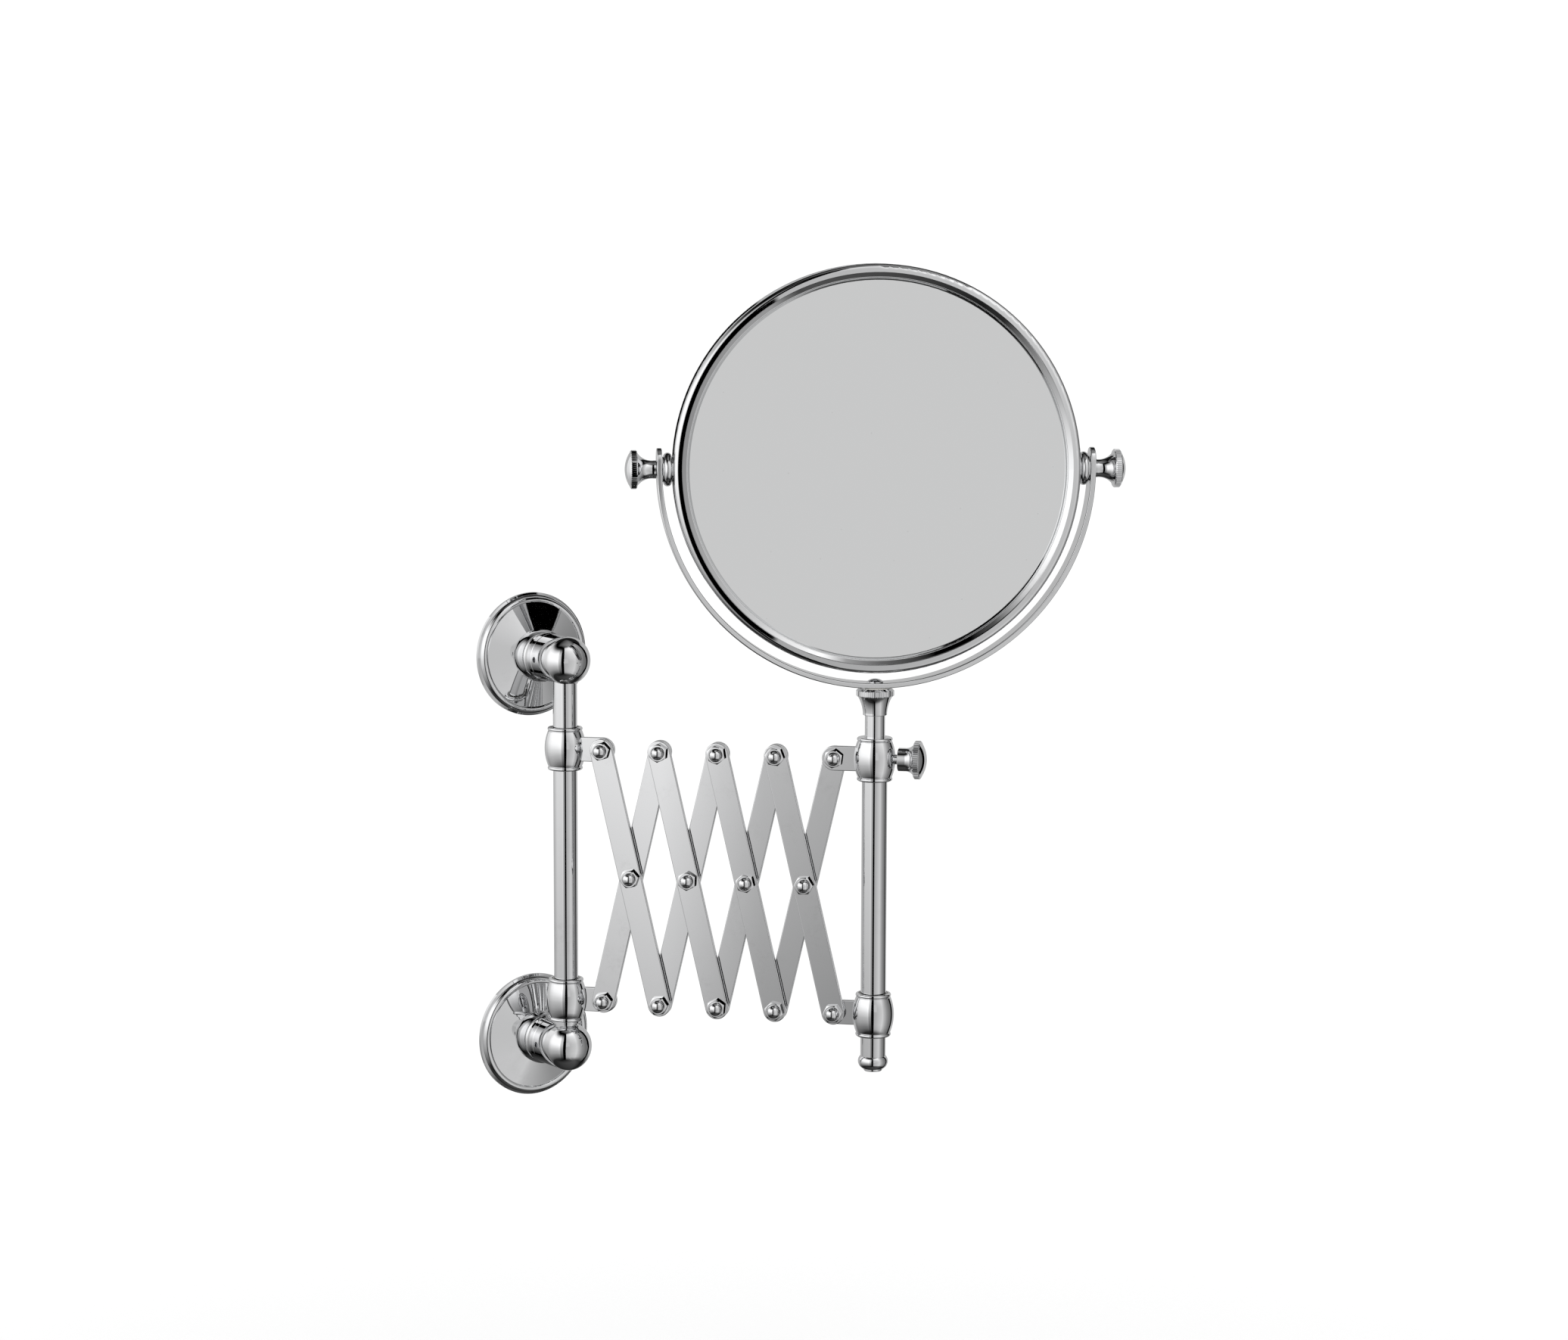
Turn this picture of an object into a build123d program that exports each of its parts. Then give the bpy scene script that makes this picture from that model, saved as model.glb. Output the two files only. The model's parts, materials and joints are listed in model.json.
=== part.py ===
from build123d import *

import math
import os

# Extendable shaving mirror: a two-sided round mirror on a scissor arm that folds against the wall.
# Millimetres, +Z up. The wall is the plane Y = 0 and -Y points into the room. The origin is the
# centre of the lower wall bracket on the wall.

# ---- overall sizes ----------------------------------------------------------------------------
MIRROR_D = 200.0  # outside of the mirror head
ROSE_SPACING = 197.5  # lower rose centre to upper rose centre
STANDOFF = 34.5  # wall to the axis of the wall post
BAR_PIVOTS = 132.0  # end pivot to end pivot of one scissor bar
CELLS = 4  # crossed pairs of bars

# ---- rest pose --------------------------------------------------------------------------------
REST_FOLD = 13.0  # degrees between a bar and the vertical
REST_SWING = 45.0  # degrees from straight out of the wall towards +X
REST_YAW = -28.5  # degrees the mirror faces away from straight out, minus is towards -X
FIRST_PIVOT_Z = 24.4  # height of the lowest pivot at the wall post
STEM_SHOWN = 24.7832  # top of the clamp barrel to the underside of the yoke

# ---- clearances -------------------------------------------------------------------------------
RUNNING = 0.05  # radial gap of a shaft in its hole
PLAY = 0.05  # gap on each face of a flat pivot joint
APART = 0.3  # gap between faces that only pass each other

# ---- wall fixtures ----------------------------------------------------------------------------
ROSE_D = 63.0
ROSE_H = 7.0  # wall to the front of the rose's cone
ROSE_WALL = 1.2
BRACKET_D = 46.0
BRACKET_T = 3.0
SPIGOT_D = 14.0
SPIGOT_L = 23.5
SCREW_HOLE_D = 4.5
SCREW_HEAD_D = 8.6
SCREW_SPACING = 32.0
SOCKET_D = 24.4  # neck and nose of the post socket
NOSE_H = 9.6  # half-spheroid nose, from its widest ring to its tip
NECK_FOOT_D = 26.8  # rounded foot of the neck on the rose
FOOT_STEP = 1.4  # how far the foot stands over the hole in the rose
BALL_AHEAD = 2.6  # widest ring of the nose beyond the post axis
GRUB_Z = 24.6  # wall to the grub screw that holds the neck on the spigot
GRUB_D = 3.0
GRUB_L = 4.6
POST_D = 12.2
POST_WALL = 1.5
POST_SEAT = 4.0  # how far past the ball's centre the post goes
REST_RING_WALL = 0.9
REST_RING_H = 1.3

# ---- sliding barrels --------------------------------------------------------------------------
BARREL_D = 20.7
BARREL_H = 21.6
COLLAR_D = 17.7
COLLAR_H = 1.7
BUSH_WALL = 1.1
BUSH_RECESS = 1.5
LUG_REACH = 20.0  # barrel axis to pivot
LUG_W = 12.3
LUG_T = 2.8

# ---- scissor bars and their pivots ------------------------------------------------------------
BAR_W = 11.6
BAR_T = 2.8
WASHER_T = 0.3
WASHER_D = 9.0
BOLT_D = 4.0
BOLT_HEAD_D = 7.6
BOLT_HEAD_H = 1.8
NUT_ACROSS = 8.4
NUT_H = 2.6
NUT_DOME_D = 6.9
NUT_DOME_H = 3.0

# ---- stem -------------------------------------------------------------------------------------
TUBE_D = 12.6
TUBE_END_Z = 3.4  # lower end of the tube at rest
BULB_D = 15.0
BULB_H = 6.6
BULB_FOOT_D = 9.3
BULB_FOOT_H = 1.0
BULB_PLUG_L = 6.0
ROD_D = 10.0
ROD_IN_TUBE = 125.0  # length of rod below the top of the clamp barrel at rest
TUBE_CLEAR = 3.0  # solid top of the clamp barrel above the tube

# ---- knurled knobs ----------------------------------------------------------------------------
KNOB_D = 19.0
KNURL_H = 3.3
KNURL_CHAMFER = 0.5
KNURL_TEETH = 60
KNURL_DEPTH = 0.42
KNOB_DOME = 2.7
TILT_NECK_D = 8.9
TILT_NECK_L = 9.4
CLAMP_NECK_D = 11.6
CLAMP_NECK_L = 8.0
CLAMP_GAP = 1.6  # clamp barrel to the knob's neck
CLAMP_SCREW_D = 5.0
PAD_L = 1.6
COLLAR_NUT_FOOT_D = 12.0
COLLAR_NUT_H = 13.4

# ---- yoke -------------------------------------------------------------------------------------
YOKE_GAP = 5.3  # mirror head to the yoke's inner face
YOKE_T = 2.6
YOKE_W = 12.5
YOKE_RISE = 10.5  # tilt axis to the tip of the yoke
SWIVEL_D = 6.0
SWIVEL_WASHER_D = 15.0
SWIVEL_WASHER_T = 0.6
YOKE_SCREW_D = 8.2
YOKE_SCREW_DOME = 1.4
YOKE_SCREW_SHANK = 3.0
STUD_D = 6.0
STUD_HEAD_D = 9.0
STUD_HEAD_H = 1.8
SPACER_D = 16.6
SPACER_END_D = 12.6

# ---- mirror head ------------------------------------------------------------------------------
HEAD_T = 20.0
RIM_WALL = 1.4
BEZEL_BEAD = 2.4  # radius of the rounded outer edge of a bezel
BEZEL_INNER_D = 186.6  # visible glass
BEZEL_SLOPE = 1.8  # how far the bezel falls towards the glass
BEZEL_LIP = 1.0  # thickness of the bezel over the glass
GLASS_T = 3.0
GLASS_BEVEL = 1.1  # width of the bevelled edge that shows inside the bezel
BEVEL_DROP = 0.8  # how much thinner the bevel makes the glass at its edge
LAND_TILT = 0.14  # fall of the bezel's narrow land towards its rounded edge
GLASS_LAP = 2.2  # glass hidden behind the bezel on each side
MAGNIFIER_DISH = 1.6  # hollow of the magnifying glass at its centre
PACKING_D = 176.0

# ---- worked out from the values above -----------------------------------------------------------
LAYER = BAR_T + WASHER_T + 2 * PLAY  # pitch of the scissor's layers
POST_LAYER = -0.5  # the post axis lies between layers -1 and 0
TUBE_LAYER = 0.5  # the tube axis lies between layers 0 and 1
HOLE_D = BOLT_D + 2 * RUNNING
CELL_W = BAR_PIVOTS * math.sin(math.radians(REST_FOLD))
CELL_H = BAR_PIVOTS * math.cos(math.radians(REST_FOLD))
TOP_PIVOT_Z = FIRST_PIVOT_Z + CELL_H
TUBE_X = 2 * LUG_REACH + CELLS * CELL_W  # tube axis from the post axis, along the arm
MIRROR_R = MIRROR_D / 2
YOKE_R = MIRROR_R + YOKE_GAP + YOKE_T
CLAMP_TOP_Z = TOP_PIVOT_Z + BARREL_H / 2
YOKE_BASE_Z = CLAMP_TOP_Z + STEM_SHOWN
TILT_Z = YOKE_BASE_Z + YOKE_R  # height of the mirror's tilt axis
SHOULDER_Z = YOKE_BASE_Z - SWIVEL_WASHER_T - PLAY
YOKE_SEAT_Z = YOKE_BASE_Z + YOKE_T + APART / 2  # under the screw's head, clear of the band's hollow
BUSH_D = POST_D + 2 * (RUNNING + BUSH_WALL)
TUBE_BUSH_D = TUBE_D + 2 * (RUNNING + BUSH_WALL)
TUBE_BORE_D = ROD_D + 2 * RUNNING
KNOB_FACE_X = YOKE_R + PLAY
BEZEL_Z = HEAD_T / 2 - 2 * BEZEL_BEAD + 0.6  # where a bezel sits on the rim, from the middle of the head
GLASS_Z = HEAD_T / 2 - BEZEL_SLOPE - BEZEL_LIP  # outer face of a glass, from the middle of the head
HOLD_Z = GLASS_Z - BEVEL_DROP  # where a bezel presses on the rim of its glass, from the middle of the head


def depth(layer, axis_layer=POST_LAYER):
    """Distance of a scissor layer in front of an axis that lies on axis_layer."""
    return (layer - axis_layer) * LAYER


# ---- frames -------------------------------------------------------------------------------------
# The arm frame has its X along the arm, its -Y towards the nuts and its Z up, on the post axis.
ARM = Pos(0, -STANDOFF, 0) * Rot(0, 0, REST_SWING - 90)
TUBE_Y = -depth(TUBE_LAYER)
HEAD = ARM * Pos(TUBE_X, TUBE_Y, TILT_Z) * Rot(0, 0, REST_YAW - REST_SWING + 90)
OUT_OF_WALL = Rot(90, 0, 0)  # turns +Z to -Y
ALONG_X = Rot(0, 90, 0)  # turns +Z to +X
ALONG_MINUS_X = Rot(0, -90, 0)


# ---- helpers ------------------------------------------------------------------------------------
def turned(start, *steps):
    """Solid of revolution about Z. A step is a (radius, height) point, or a pair of them for an arc."""
    here = Vector(start[0], 0, start[1])
    edges = []
    for step in (*steps, start):
        arc = isinstance(step[0], tuple)
        point = step[1] if arc else step
        end = Vector(point[0], 0, point[1])
        if (end - here).length < 1e-6:
            continue
        if arc:
            edges.append(ThreePointArc(here, Vector(step[0][0], 0, step[0][1]), end))
        else:
            edges.append(Line(here, end))
        here = end
    return revolve(Face(Wire(edges)), Axis.Z)


def cap(radius, base, height):
    """Last step of an outline: a spherical cap from (radius, base) to the axis, height above the base."""
    sphere = (radius**2 + height**2) / (2 * height)
    centre = base + height - sphere
    half_angle = math.asin(min(1.0, radius / abs(sphere))) / 2
    middle = (abs(sphere) * math.sin(half_angle), centre + sphere * math.cos(half_angle))
    return (middle, (0, base + height))


def nose(radius, base, height):
    """Last steps of an outline: half a spheroid from (radius, base) to the axis, in two arcs and a cap."""
    turn = [math.radians(15 * step) for step in range(1, 5)]
    points = [(radius * math.cos(a), base + height * math.sin(a)) for a in turn]
    top_r, top = points[3]
    return [(points[0], points[1]), (points[2], points[3]), cap(top_r, top, base + height - top)]


def rod(diameter, low, high):
    """Cylinder about Z from low to high."""
    return Pos(0, 0, low) * Cylinder(diameter / 2, high - low, align=(Align.CENTER, Align.CENTER, Align.MIN))


def tube(outer_d, inner_d, low, high):
    return rod(outer_d, low, high) - rod(inner_d, low - 1, high + 1)


def along_y(diameter, front, back):
    """Cylinder along Y from y = front to y = back."""
    return Pos(0, back, 0) * OUT_OF_WALL * rod(diameter, 0, back - front)


def slab(width, length, thickness, ends=(True, True)):
    """Upright flat bar about the Y axis, from pivot at z = 0 to pivot at z = length, with round ends."""
    plate = Pos(0, 0, length / 2) * Box(width, thickness, length)
    for rounded, z in zip(ends, (0, length)):
        if rounded:
            plate += Pos(0, 0, z) * along_y(width, -thickness / 2, thickness / 2)
    return plate


def ease(part, radius, axis):
    """Rounds the edges around the two broad faces that are square to an axis."""
    faces = part.faces().sort_by(axis)
    edges = faces[0].outer_wire().edges() + faces[-1].outer_wire().edges()
    return fillet(edges, radius)


def knurled(low, high, diameter=KNOB_D):
    """Rim with straight knurling between two heights, chamfered at both edges."""
    outer = diameter / 2
    inner = outer - KNURL_DEPTH
    points = []
    for tooth in range(KNURL_TEETH):
        for share, radius in ((0.0, inner), (0.3, outer), (0.7, outer)):
            angle = 2 * math.pi * (tooth + share) / KNURL_TEETH
            points.append((radius * math.cos(angle), radius * math.sin(angle)))
    rim = Pos(0, 0, low) * extrude(make_face(Polyline(*points, close=True)), high - low)
    edge = outer - KNURL_CHAMFER
    limit = turned(
        (0, low),
        (edge, low),
        (outer, low + KNURL_CHAMFER),
        (outer, high - KNURL_CHAMFER),
        (edge, high),
        (0, high),
    )
    return rim & limit


# ---- wall fixtures --------------------------------------------------------------------------------
def wall_bracket():
    """Round plate with two countersunk holes and the spigot that carries the socket."""
    plate = turned((0, 0), (BRACKET_D / 2, 0), (BRACKET_D / 2, BRACKET_T), (0, BRACKET_T))
    plate += rod(SPIGOT_D, 0, BRACKET_T + SPIGOT_L)
    sink = (SCREW_HEAD_D - SCREW_HOLE_D) / 2
    for side in (-1, 1):
        hole = rod(SCREW_HOLE_D, -1, BRACKET_T + 1)
        hole += Pos(0, 0, BRACKET_T - sink) * Cone(
            SCREW_HOLE_D / 2, SCREW_HEAD_D / 2, sink, align=(Align.CENTER, Align.CENTER, Align.MIN)
        )
        plate -= Pos(side * SCREW_SPACING / 2, 0, 0) * hole
    plate -= Pos(-SPIGOT_D / 2 + 1, 0, GRUB_Z) * ALONG_MINUS_X * rod(GRUB_D, 0, SPIGOT_D)
    return OUT_OF_WALL * plate


def rose():
    """Thin turned cover: a flat edge on the wall, a bead, and a shallow cone up to the neck."""
    edge = ROSE_D / 2
    hole = NECK_FOOT_D / 2 - FOOT_STEP + PLAY
    wall = ROSE_WALL
    shell = turned(
        (edge, 0),
        (edge, 1.7),
        (edge - 1.1, 2.2),
        ((edge - 2.2, 4.4), (edge - 4.4, 4.4)),
        (edge - 4.6, 3.9),
        (hole, ROSE_H),
        (hole, ROSE_H - wall),
        (edge - 4.8, 3.9 - wall),
        ((edge - 2.6, 3.1), (edge - wall - 0.6, 1.4)),
        (edge - wall - 0.4, 0),
    )
    return OUT_OF_WALL * shell


def socket(upper):
    """Neck with a rounded foot and a ball nose. The post goes in from below or from above."""
    neck = SOCKET_D / 2
    foot = NECK_FOOT_D / 2
    ball_z = STANDOFF + BALL_AHEAD
    start = ROSE_H - ROSE_WALL
    body = turned(
        (0, start),
        (foot - FOOT_STEP, start),
        (foot - FOOT_STEP, ROSE_H + PLAY),
        (foot - 0.3, ROSE_H + PLAY),
        ((foot, ROSE_H + 3.2), (neck + 0.4, ROSE_H + 9.4)),
        (neck - 0.35, ROSE_H + 10.0),
        (neck - 0.35, ROSE_H + 10.6),
        (neck, ROSE_H + 10.9),
        (neck, ROSE_H + 14.0),
        (neck - 0.3, ROSE_H + 14.3),
        (neck, ROSE_H + 14.6),
        (neck, ball_z),
        *nose(neck, ball_z, NOSE_H),
    )
    body -= rod(SPIGOT_D + 2 * RUNNING, start - 1, BRACKET_T + SPIGOT_L + APART)
    body -= Pos(0, 0, GRUB_Z) * ALONG_MINUS_X * rod(GRUB_D, 0, SOCKET_D)
    body = OUT_OF_WALL * body
    seat = rod(POST_D, -POST_SEAT, SOCKET_D)
    if upper:
        seat = rod(POST_D, -SOCKET_D, POST_SEAT)
    return body - Pos(0, -STANDOFF, 0) * seat


def grub_screw():
    """Headless screw with a hexagon socket, in from the left side of the neck."""
    low = SPIGOT_D / 2 - 1 + 0.2
    screw = rod(GRUB_D, low, low + GRUB_L)
    key = extrude(RegularPolygon(0.85, 6), 1.8)
    screw -= Pos(0, 0, low + GRUB_L - 1.6) * key
    return Pos(0, -GRUB_Z, 0) * ALONG_MINUS_X * screw


def wall_post():
    return Pos(0, -STANDOFF, 0) * tube(POST_D, POST_D - 2 * POST_WALL, -POST_SEAT, ROSE_SPACING + POST_SEAT)


def rest_ring():
    """Small ring on the lower ball that carries the lower barrel."""
    top = FIRST_PIVOT_Z - BARREL_H / 2 - PLAY
    ring = tube(POST_D + 2 * REST_RING_WALL, POST_D, top - REST_RING_H, top)
    return Pos(0, -STANDOFF, 0) * ring


# ---- barrels ----------------------------------------------------------------------------------------
def barrel_body():
    """Turned barrel about Z: a swelling body between two small collars."""
    half = BARREL_H / 2
    collar = COLLAR_D / 2
    shoulder = half - COLLAR_H
    return turned(
        (0, -half),
        (collar - 0.5, -half),
        ((collar, -half + COLLAR_H / 2), (collar - 0.5, -shoulder)),
        (collar - 0.2, -shoulder + 0.3),
        ((BARREL_D / 2, 0), (collar - 0.2, shoulder - 0.3)),
        (collar - 0.5, shoulder),
        ((collar, half - COLLAR_H / 2), (collar - 0.5, half)),
        (0, half),
    )


def lug(side, offset):
    """Flat ear from the barrel to the pivot. side is +1 away from the wall, offset is towards the nuts."""
    ear = ALONG_X * slab(LUG_W, LUG_REACH, LUG_T, ends=(False, True))
    if side < 0:
        ear = Rot(0, 0, 180) * ear
    ear = ease(ear, 0.4, Axis.Y)
    return Pos(0, -offset, 0) * ear


def pivot_hole(side):
    return Pos(side * LUG_REACH, 0, 0) * along_y(HOLE_D, -BARREL_D, BARREL_D)


def sliding_barrel(side, offset, shaft_bush_d):
    """Barrel with a plastic bush inside, free to turn and slide."""
    body = barrel_body() + lug(side, offset)
    return body - rod(shaft_bush_d, -BARREL_H, BARREL_H) - pivot_hole(side)


def bush(bush_d, shaft_d):
    half = BARREL_H / 2 - BUSH_RECESS
    return tube(bush_d, shaft_d + 2 * RUNNING, -half, half)


def clamp_barrel(offset):
    """Upper barrel of the stem: the tube is fixed in it and the clamp screw goes through its wall."""
    body = barrel_body() + lug(-1, offset)
    body -= rod(TUBE_D, -BARREL_H, BARREL_H / 2 - TUBE_CLEAR)
    body -= rod(TUBE_BORE_D, -BARREL_H, BARREL_H)
    body -= ALONG_X * rod(CLAMP_SCREW_D + 2 * RUNNING, 0, BARREL_D)
    return body - pivot_hole(-1)


# ---- scissor ------------------------------------------------------------------------------------------
def bar():
    """One scissor bar, upright, with its lower pivot at the origin."""
    plate = ease(slab(BAR_W, BAR_PIVOTS, BAR_T), 0.45, Axis.Y)
    for z in (0, BAR_PIVOTS / 2, BAR_PIVOTS):
        plate -= Pos(0, 0, z) * along_y(HOLE_D, -BAR_T, BAR_T)
    return plate


def cap_nut():
    """Hexagon with chamfered corners and a dome, standing on z = 0."""
    corner = NUT_ACROSS / math.sqrt(3)
    hexagon = extrude(RegularPolygon(corner, 6), NUT_H)
    hexagon &= turned((0, 0), (corner, 0), (corner, NUT_H - 0.55), (corner - 0.9, NUT_H), (0, NUT_H))
    dome = NUT_DOME_D / 2
    step = 0.6
    crown = turned(
        (0, NUT_H),
        (dome, NUT_H),
        (dome, NUT_H + step),
        cap(dome, NUT_H + step, NUT_DOME_H),
    )
    return hexagon + crown - rod(BOLT_D, -1, NUT_H)


def pivot_set(back_layer, turn=0.0):
    """Bolt, washer and cap nut through two neighbouring layers. Its -Y end is the nut."""
    low = depth(back_layer) - BAR_T / 2 - PLAY
    high = depth(back_layer + 1) + BAR_T / 2 + PLAY
    head = turned(
        (0, low - BOLT_HEAD_H),
        (1.6, low - BOLT_HEAD_H),
        ((BOLT_HEAD_D / 2 - 0.5, low - BOLT_HEAD_H * 0.75), (BOLT_HEAD_D / 2, low - 0.4)),
        (BOLT_HEAD_D / 2, low),
        (0, low),
    )
    bolt = head + rod(BOLT_D, low, high + NUT_H)
    middle = (low + high) / 2
    washer = tube(WASHER_D, BOLT_D, middle - WASHER_T / 2, middle + WASHER_T / 2)
    nut = Pos(0, 0, high) * Rot(0, 0, turn) * cap_nut()
    return [OUT_OF_WALL * piece for piece in (bolt, washer, nut)]


# ---- stem ---------------------------------------------------------------------------------------------
def stem_tube():
    """Tube from the end bulb up into the clamp barrel, with a hole for the clamp screw."""
    top = CLAMP_TOP_Z - TUBE_CLEAR
    shape = tube(TUBE_D, TUBE_BORE_D, TUBE_END_Z, top)
    return shape - Pos(0, 0, TOP_PIVOT_Z) * ALONG_X * rod(CLAMP_SCREW_D + 2 * RUNNING, 0, TUBE_D)


def end_bulb():
    """Rounded stop at the foot of the tube, plugged into its bore."""
    top = TUBE_END_Z
    low = top - BULB_H
    return turned(
        (0, low - BULB_FOOT_H),
        (BULB_FOOT_D / 2 - 0.3, low - BULB_FOOT_H),
        (BULB_FOOT_D / 2, low - BULB_FOOT_H + 0.3),
        (BULB_FOOT_D / 2, low),
        ((BULB_D / 2, low + BULB_H * 0.55), (TUBE_D / 2, top)),
        (TUBE_BORE_D / 2, top),
        (TUBE_BORE_D / 2, top + BULB_PLUG_L),
        (0, top + BULB_PLUG_L),
    )


def mirror_stem():
    """Sliding rod with a reduced top that passes through the yoke."""
    stem = rod(ROD_D, CLAMP_TOP_Z - ROD_IN_TUBE, SHOULDER_Z)
    stem = chamfer(stem.edges().sort_by(Axis.Z)[0], 1.0)
    stem += rod(SWIVEL_D - 2 * RUNNING, SHOULDER_Z - 1, YOKE_SEAT_Z)
    return stem - rod(YOKE_SCREW_SHANK, SHOULDER_Z - 6, YOKE_BASE_Z + YOKE_R)


def clamp_pad():
    """Soft brass tip between the clamp screw and the rod. It points at the rod along -X."""
    face = ROD_D / 2 + RUNNING
    return ALONG_X * rod(CLAMP_SCREW_D - 2 * RUNNING, face, face + PAD_L)


def knob_head(neck_d, neck_l, flare):
    """Trumpet neck from z = 0, a knurled rim and a domed face. flare is where the neck starts to open."""
    rim_z = neck_l
    top = rim_z + KNURL_H
    neck = neck_d / 2
    edge = KNOB_D / 2 - KNURL_CHAMFER
    curve = turned(
        (0, 0),
        (neck - 0.2, 0),
        (neck, 0.2),
        (neck, flare),
        ((neck + (edge - neck) * 0.22, flare + (rim_z - flare) * 0.62), (edge - 0.6, rim_z)),
        (edge - 0.6, rim_z + 0.3),
        (0, rim_z + 0.3),
    )
    dome = turned(
        (0, top - 0.3),
        (edge - 0.3, top - 0.3),
        (edge - 0.3, top),
        cap(edge - 0.3, top, KNOB_DOME),
    )
    return curve + knurled(rim_z, top) + dome


def clamp_knob():
    """Knob with its threaded shank, outside the clamp barrel along +X."""
    start = BARREL_D / 2 + CLAMP_GAP
    tip = ROD_D / 2 + RUNNING + PAD_L
    knob = Pos(0, 0, start) * knob_head(CLAMP_NECK_D, CLAMP_NECK_L, 3.4)
    return ALONG_X * (knob + rod(CLAMP_SCREW_D - 2 * RUNNING, tip, start))


def collar_nut():
    """Knurled nut under the yoke: a trumpet with its wide end up."""
    top = YOKE_BASE_Z - APART
    low = top - COLLAR_NUT_H
    foot = COLLAR_NUT_FOOT_D / 2
    edge = KNOB_D / 2 - KNURL_CHAMFER
    rim = top - KNURL_H - 0.7
    shape = turned(
        (0, low),
        (foot - 0.2, low),
        (foot, low + 0.2),
        (foot, low + 1.2),
        ((foot + 0.9, low + 5.6), (edge - 0.4, rim)),
        (edge - 0.4, rim + 0.3),
        (0, rim + 0.3),
    )
    shape += knurled(rim, rim + KNURL_H)
    face = rim + KNURL_H
    shape += turned((0, face - 0.3), (edge, face - 0.3), (edge, face), (edge - 0.8, top), (0, top))
    recess = SWIVEL_WASHER_D / 2 + APART
    shape -= rod(2 * recess, SHOULDER_Z - APART, top + 1)
    return shape - rod(ROD_D + 2 * RUNNING, low - 1, top + 1)


# ---- yoke ----------------------------------------------------------------------------------------------
def yoke():
    """Half-ring band around the lower half of the mirror, with straight tips above the tilt axis."""
    inner = YOKE_R - YOKE_T
    tip = YOKE_RISE
    outline = Wire(
        [
            ThreePointArc((-YOKE_R, 0, 0), (0, 0, -YOKE_R), (YOKE_R, 0, 0)),
            Line((YOKE_R, 0, 0), (YOKE_R, 0, tip)),
            Line((YOKE_R, 0, tip), (inner, 0, tip)),
            Line((inner, 0, tip), (inner, 0, 0)),
            ThreePointArc((inner, 0, 0), (0, 0, -inner), (-inner, 0, 0)),
            Line((-inner, 0, 0), (-inner, 0, tip)),
            Line((-inner, 0, tip), (-YOKE_R, 0, tip)),
            Line((-YOKE_R, 0, tip), (-YOKE_R, 0, 0)),
        ]
    )
    band = extrude(Face(outline), YOKE_W / 2, dir=(0, 1, 0), both=True)
    half = YOKE_W / 2
    side = Pos(0, 0, (tip - half - YOKE_R - 1) / 2) * Box(2 * YOKE_R + 2, YOKE_W, YOKE_R + 1 + tip - half)
    side += Pos(-YOKE_R - 1, 0, tip - half) * ALONG_X * rod(YOKE_W, 0, 2 * YOKE_R + 2)
    band &= side
    front = band.faces().filter_by(Axis.Y)
    rims = [edge for face in front for edge in face.edges() if edge.length > 30]
    band = fillet(rims, 0.6)
    band -= rod(SWIVEL_D, -YOKE_R - 1, -inner + 1)
    return band - Pos(-YOKE_R - 1, 0, 0) * ALONG_X * rod(STUD_D + 2 * RUNNING, 0, 2 * YOKE_R + 2)


def yoke_screw():
    """Domed screw that holds the yoke on the stem."""
    half = YOKE_SCREW_D / 2
    edge = YOKE_SEAT_Z + 0.3
    head = turned((0, YOKE_SEAT_Z), (half, YOKE_SEAT_Z), (half, edge), cap(half, edge, YOKE_SCREW_DOME))
    return head + rod(YOKE_SCREW_SHANK, SHOULDER_Z - 5, YOKE_SEAT_Z)


def swivel_washer():
    return tube(SWIVEL_WASHER_D, SWIVEL_D + 2 * RUNNING, SHOULDER_Z, SHOULDER_Z + SWIVEL_WASHER_T)


def tilt_spacer():
    """Beaded spacer between the mirror head and the yoke, along +X."""
    start = MIRROR_R + RUNNING
    end = MIRROR_R + YOKE_GAP - APART
    half = SPACER_END_D / 2
    bead = turned(
        (STUD_D / 2, start),
        (half, start),
        (half, start + 0.4),
        ((SPACER_D / 2, (start + end) / 2), (half, end - 0.4)),
        (half, end),
        (STUD_D / 2, end),
    )
    return ALONG_X * bead


def tilt_stud():
    """Stud from inside the rim out through the spacer and the yoke into the knob, along +X."""
    inside = MIRROR_R - RIM_WALL - STUD_HEAD_H - 1.2
    stud = rod(STUD_D, inside, KNOB_FACE_X + TILT_NECK_L)
    return ALONG_X * (stud + rod(STUD_HEAD_D, inside, inside + STUD_HEAD_H))


def tilt_knob():
    """Side knob that locks the tilt, along +X."""
    knob = knob_head(TILT_NECK_D, TILT_NECK_L, 1.2) - rod(STUD_D + 2 * RUNNING, -1, TILT_NECK_L + RUNNING)
    return Pos(KNOB_FACE_X, 0, 0) * ALONG_X * knob


# ---- mirror head -----------------------------------------------------------------------------------------
def mirror_rim():
    """Plain drum wall, with a hole for each tilt stud."""
    outer = MIRROR_D - 0.8
    wall = tube(outer, outer - 2 * RIM_WALL, -BEZEL_Z, BEZEL_Z)
    return OUT_OF_WALL * wall - Pos(-MIRROR_R, 0, 0) * ALONG_X * rod(STUD_D, 0, MIRROR_D)


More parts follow.
